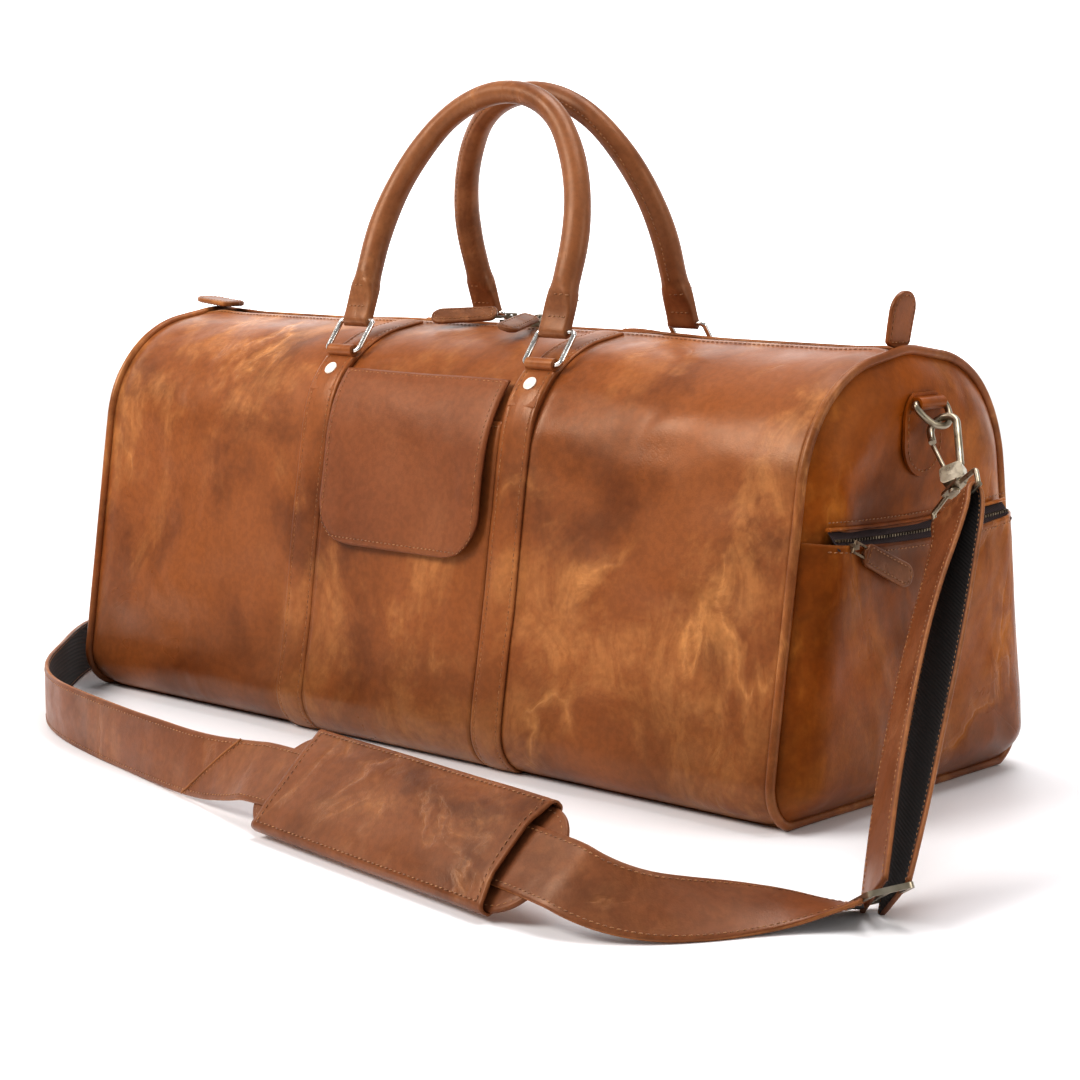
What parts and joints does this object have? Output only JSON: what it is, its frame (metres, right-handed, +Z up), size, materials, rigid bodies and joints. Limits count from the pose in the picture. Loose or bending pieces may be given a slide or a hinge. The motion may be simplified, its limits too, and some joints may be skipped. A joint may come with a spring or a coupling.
{
  "type": "weekender bag",
  "caption": "Cylindrical leather travel holdall with twin rolled handles on metal rings, zipped top, flap pocket, zipped end pocket and a clip-on padded shoulder strap.",
  "frame": {"origin": "centre of the flat bottom, on the surface the bag stands on", "axes": "+X along the bag towards its end pocket, +Y towards the back panel, +Z up"},
  "size_m": [0.8344, 0.4828, 0.4275],
  "materials": {
    "body_leather": "waxed pull-up leather, semi-gloss",
    "end_leather": "waxed pull-up leather, semi-gloss",
    "flap_leather": "waxed pull-up leather, satin",
    "handle_leather": "rolled leather, semi-gloss",
    "pull_leather": "stitched leather, satin",
    "strap_leather": "waxed leather, satin",
    "rope_core": "twisted cotton rope",
    "lining_cloth": "woven cotton twill",
    "base_board": "stiff fibre board",
    "zip_tape": "woven polyester tape",
    "zip_metal": "antique brass",
    "snap_metal": "nickel plate",
    "ring_metal": "polished nickel",
    "hook_metal": "antique nickel, polished edges"
  },
  "bodies": {
    "bag": {"front_panel": "body_leather", "back_panel": "body_leather", "bottom_panel": "body_leather", "end_panel_left": "end_leather", "end_panel_right": "end_leather", "piping_left": "body_leather", "piping_right": "body_leather", "band_left": "body_leather", "band_right": "body_leather", "lining": "lining_cloth", "base_board": "base_board", "main_zip_tapes": "zip_tape", "main_zip_teeth": "zip_metal", "zip_end_tab_left": "body_leather", "zip_end_tab_right": "body_leather", "front_pocket_panel": "body_leather", "snap_magnet_pocket": "snap_metal", "end_pocket_panel": "end_leather", "end_zip_tapes": "zip_tape", "end_zip_teeth": "zip_metal", "ring_tabs": "body_leather", "rivets": "ring_metal", "d_ring_tab_left": "end_leather", "d_ring_tab_right": "end_leather", "strap_run": "strap_leather", "strap_end_left": "strap_leather", "strap_loop": "strap_leather"},
    "front_ring_pair": {"front_rings": "ring_metal"},
    "back_ring_pair": {"back_rings": "ring_metal"},
    "front_handle": {"front_handle_grip": "handle_leather", "front_handle_core": "rope_core", "front_handle_loops": "handle_leather"},
    "back_handle": {"back_handle_grip": "handle_leather", "back_handle_core": "rope_core", "back_handle_loops": "handle_leather"},
    "left_slider": {"zip_slider_left": "zip_metal"},
    "right_slider": {"zip_slider_right": "zip_metal"},
    "left_pull": {"pull_link_left": "zip_metal", "leather_pull_left": "pull_leather"},
    "right_pull": {"pull_link_right": "zip_metal", "leather_pull_right": "pull_leather"},
    "flap": {"pocket_flap": "flap_leather", "snap_magnet_flap": "snap_metal"},
    "end_slider": {"end_zip_slider": "zip_metal"},
    "end_pull": {"end_pull_link": "zip_metal", "end_leather_pull": "pull_leather"},
    "right_d_ring": {"d_ring_right": "hook_metal", "swivel_eye_right": "hook_metal"},
    "left_d_ring": {"d_ring_left": "hook_metal", "swivel_eye_left": "hook_metal"},
    "right_hook": {"snap_hook_right": "hook_metal", "gate_pin_right": "hook_metal"},
    "left_hook": {"snap_hook_left": "hook_metal", "gate_pin_left": "hook_metal"},
    "right_gate": {"hook_gate_right": "hook_metal"},
    "left_gate": {"hook_gate_left": "hook_metal"},
    "adjuster": {"adjuster_frame": "hook_metal", "adjuster_bar": "hook_metal"},
    "shoulder_pad": {"shoulder_pad_base": "strap_leather", "shoulder_pad_sleeve": "strap_leather"}
  },
  "joints": [
    {"name": "front_ring_hinge", "type": "hinge", "parent": "bag", "child": "front_ring_pair", "pos_m": [0, -0.0771, 0.24957], "axis": [1, 0, 0], "range_deg": [0, 150]},
    {"name": "front_handle_hinge", "type": "hinge", "parent": "front_ring_pair", "child": "front_handle", "pos_m": [0, -0.0627, 0.26877], "axis": [1, 0, 0], "range_deg": [0, 20]},
    {"name": "back_ring_hinge", "type": "hinge", "parent": "bag", "child": "back_ring_pair", "pos_m": [0, 0.0771, 0.24957], "axis": [-1, 0, 0], "range_deg": [0, 150]},
    {"name": "back_handle_hinge", "type": "hinge", "parent": "back_ring_pair", "child": "back_handle", "pos_m": [0, 0.0627, 0.26877], "axis": [-1, 0, 0], "range_deg": [0, 20]},
    {"name": "left_zip_slide", "type": "slide", "parent": "bag", "child": "left_slider", "axis": [-1, 0, 0], "range_m": [0, 0.22]},
    {"name": "right_zip_slide", "type": "slide", "parent": "bag", "child": "right_slider", "axis": [1, 0, 0], "range_m": [0, 0.24]},
    {"name": "left_pull_hinge", "type": "hinge", "parent": "left_slider", "child": "left_pull", "pos_m": [-0.008, 0, 0.2716], "axis": [-0.5026, 0.8645, 0], "range_deg": [0, 100]},
    {"name": "right_pull_hinge", "type": "hinge", "parent": "right_slider", "child": "right_pull", "pos_m": [0.016, 0, 0.2716], "axis": [-0.9487, -0.3162, 0], "range_deg": [0, 100]},
    {"name": "flap_hinge", "type": "hinge", "parent": "bag", "child": "flap", "pos_m": [0, -0.08922, 0.236], "axis": [-1, 0, 0], "range_deg": [0, 110]},
    {"name": "end_zip_slide", "type": "slide", "parent": "bag", "child": "end_slider", "axis": [0, 1, 0], "range_m": [0, 0.155]},
    {"name": "end_pull_hinge", "type": "hinge", "parent": "end_slider", "child": "end_pull", "pos_m": [0.3262, -0.079, 0.1606], "axis": [0, -0.4311, -0.9023], "range_deg": [0, 45]},
    {"name": "right_d_ring_hinge", "type": "hinge", "parent": "bag", "child": "right_d_ring", "pos_m": [0.3206, 0, 0.235], "axis": [0, -1, 0], "range_deg": [-8, 40], "deforming": ["strap_loop"]},
    {"name": "left_d_ring_hinge", "type": "hinge", "parent": "bag", "child": "left_d_ring", "pos_m": [-0.3206, 0, 0.235], "axis": [0, 1, 0], "range_deg": [0, 30], "deforming": ["strap_end_left"]},
    {"name": "right_hook_swivel", "type": "hinge", "parent": "right_d_ring", "child": "right_hook", "pos_m": [0.33034, 0, 0.22231], "axis": [0.5199, -0.5299, -0.6699], "range_deg": [0, 15]},
    {"name": "left_hook_swivel", "type": "hinge", "parent": "left_d_ring", "child": "left_hook", "pos_m": [-0.3286, 0, 0.22114], "axis": [-0.4198, -0.2999, -0.8566], "range_deg": [-8, 8]},
    {"name": "right_gate_hinge", "type": "hinge", "parent": "right_hook", "child": "right_gate", "pos_m": [0.34606, -0.01912, 0.19813], "axis": [-0.0002, 0.7842, -0.6205], "range_deg": [0, 22], "stiffness_Nm_per_rad": 0.02, "springref_deg": -22.92},
    {"name": "left_gate_hinge", "type": "hinge", "parent": "left_hook", "child": "left_gate", "pos_m": [-0.34073, -0.0106, 0.19052], "axis": [0.0375, -0.9488, 0.3137], "range_deg": [0, 22], "stiffness_Nm_per_rad": 0.02, "springref_deg": -22.92},
    {"name": "adjuster_slide", "type": "slide", "parent": "bag", "child": "adjuster", "axis": [-0.3145, 0.6861, 0.656], "range_m": [0, 0.04], "deforming": ["strap_loop"]},
    {"name": "pad_slide", "type": "slide", "parent": "bag", "child": "shoulder_pad", "axis": [-0.9895, 0.1446, 0], "range_m": [0, 0.018]}
  ]
}
